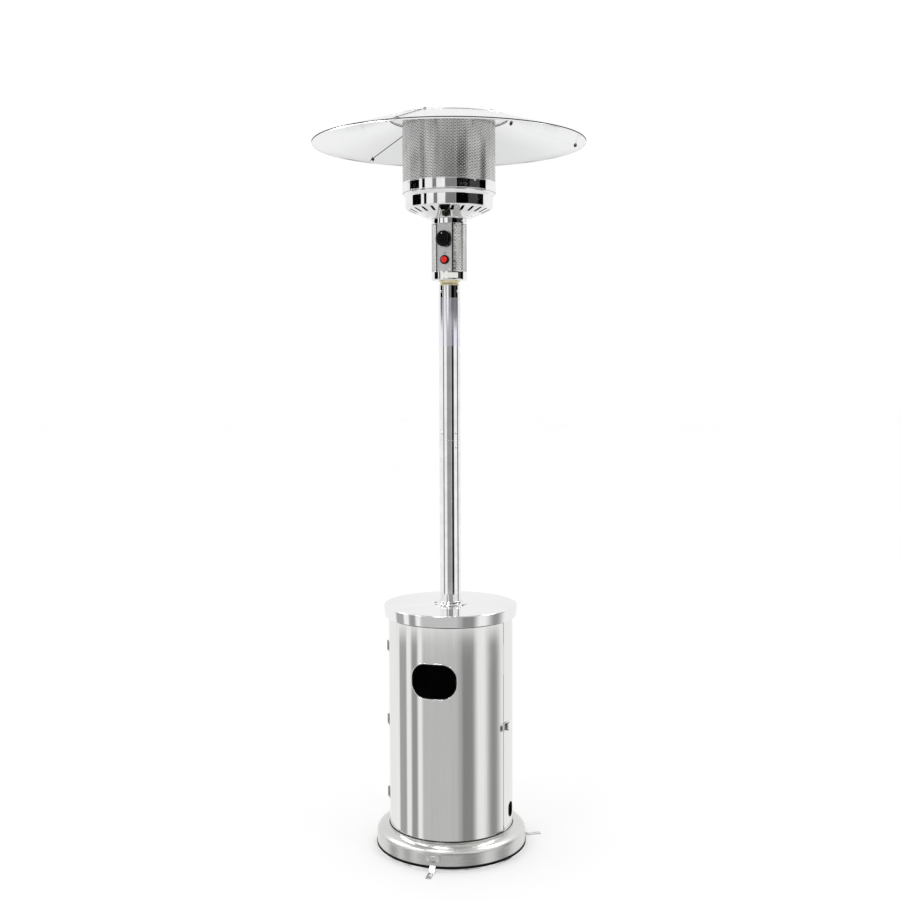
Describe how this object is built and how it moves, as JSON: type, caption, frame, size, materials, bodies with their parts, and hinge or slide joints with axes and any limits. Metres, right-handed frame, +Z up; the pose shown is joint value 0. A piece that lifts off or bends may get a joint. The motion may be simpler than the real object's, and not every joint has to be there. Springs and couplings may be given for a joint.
{
  "type": "patio heater",
  "caption": "Tall mushroom-shaped gas patio heater: round bottle housing with hinged door, slim post, control housing, cylindrical emitter screen and wide dished reflector.",
  "frame": {"origin": "centre of the base on the floor", "axes": "+Z up, front of the heater (door side) facing -Y, +X to the right seen from the front"},
  "size_m": [0.813, 0.813, 2.2165],
  "materials": {
    "brushed_stainless": "vertical brushed stainless sheet",
    "polished_chrome": "mirror polished",
    "reflector_aluminium": "bright rolled sheet",
    "plated_steel": "cream-yellow plated",
    "brass": "machined",
    "black_rubber": "matte",
    "black_plastic": "glossy moulded",
    "red_plastic": "glossy moulded",
    "white_ceramic": "satin glazed"
  },
  "bodies": {
    "heater": {"base_plate": "brushed_stainless", "base_skirt": "brushed_stainless", "anchor_clip_1": "brushed_stainless", "anchor_clip_2": "brushed_stainless", "anchor_clip_3": "brushed_stainless", "post_strap_1": "brushed_stainless", "post_strap_2": "brushed_stainless", "post_strap_3": "brushed_stainless", "housing_shell": "brushed_stainless", "housing_bottom_ring": "brushed_stainless", "housing_top_ring": "brushed_stainless", "housing_lid": "brushed_stainless", "post_flange": "brushed_stainless", "post_lower": "brushed_stainless", "post_upper": "brushed_stainless", "post_coupling": "brushed_stainless", "control_panel": "brushed_stainless", "burner_plate": "brushed_stainless", "mixing_tube": "brushed_stainless", "burner_cup": "brushed_stainless", "emitter_screen": "brushed_stainless", "head_top_plate": "brushed_stainless", "wing_nut_1": "brushed_stainless", "wing_nut_2": "brushed_stainless", "wing_nut_3": "brushed_stainless", "hinge_leaf_fixed_1": "polished_chrome", "hinge_leaf_fixed_2": "polished_chrome", "hinge_leaf_fixed_3": "polished_chrome", "latch_base": "polished_chrome", "control_housing": "polished_chrome", "head_bowl": "polished_chrome", "head_collar": "polished_chrome", "reflector_crown": "reflector_aluminium", "reflector_panel_1": "reflector_aluminium", "reflector_panel_2": "reflector_aluminium", "reflector_panel_3": "reflector_aluminium", "gas_pipe": "brass", "gas_inlet": "brass", "gas_jet": "brass", "gas_valve": "brass", "thermocouple": "brass", "pilot_burner": "brass", "neck_adapter": "plated_steel", "base_gasket": "black_rubber", "igniter_body": "black_plastic", "tilt_switch": "black_plastic", "igniter_electrode": "white_ceramic"},
    "door": {"door": "brushed_stainless", "door_window_trim": "black_plastic", "hinge_leaf_door_1": "polished_chrome", "hinge_leaf_door_2": "polished_chrome", "hinge_leaf_door_3": "polished_chrome", "latch_keeper": "polished_chrome"},
    "latch_lever": {"latch_lever": "polished_chrome"},
    "latch_bail": {"latch_bail": "polished_chrome"},
    "valve_stem": {"valve_stem": "brass"},
    "control_knob": {"control_knob": "black_plastic"},
    "igniter_button": {"igniter_button": "red_plastic"}
  },
  "joints": [
    {"name": "door_hinge", "type": "hinge", "parent": "heater", "child": "door", "pos_m": [-0.1921, 0, 0.389], "axis": [0, 0, -1], "range_deg": [0, 115]},
    {"name": "latch_lever_swing", "type": "hinge", "parent": "heater", "child": "latch_lever", "pos_m": [0.17058, -0.09365, 0.39], "axis": [0, 0, -1], "range_deg": [0, 150]},
    {"name": "latch_bail_swing", "type": "hinge", "parent": "latch_lever", "child": "latch_bail", "pos_m": [0.17421, -0.08652, 0.39], "axis": [0, 0, -1], "range_deg": [-150, 0]},
    {"name": "knob_push", "type": "slide", "parent": "heater", "child": "valve_stem", "axis": [0.2924, 0.9563, 0], "range_m": [0, 0.004], "stiffness_N_per_m": 500},
    {"name": "knob_turn", "type": "hinge", "parent": "valve_stem", "child": "control_knob", "pos_m": [-0.01813, -0.05929, 1.8435], "axis": [-0.2924, -0.9563, 0], "range_deg": [0, 200]},
    {"name": "igniter_press", "type": "slide", "parent": "heater", "child": "igniter_button", "axis": [0.2924, 0.9563, 0], "range_m": [0, 0.005], "stiffness_N_per_m": 800}
  ],
  "couplings": [
    {"joint": "latch_bail_swing", "follows": "latch_lever_swing", "ratio": -1}
  ]
}
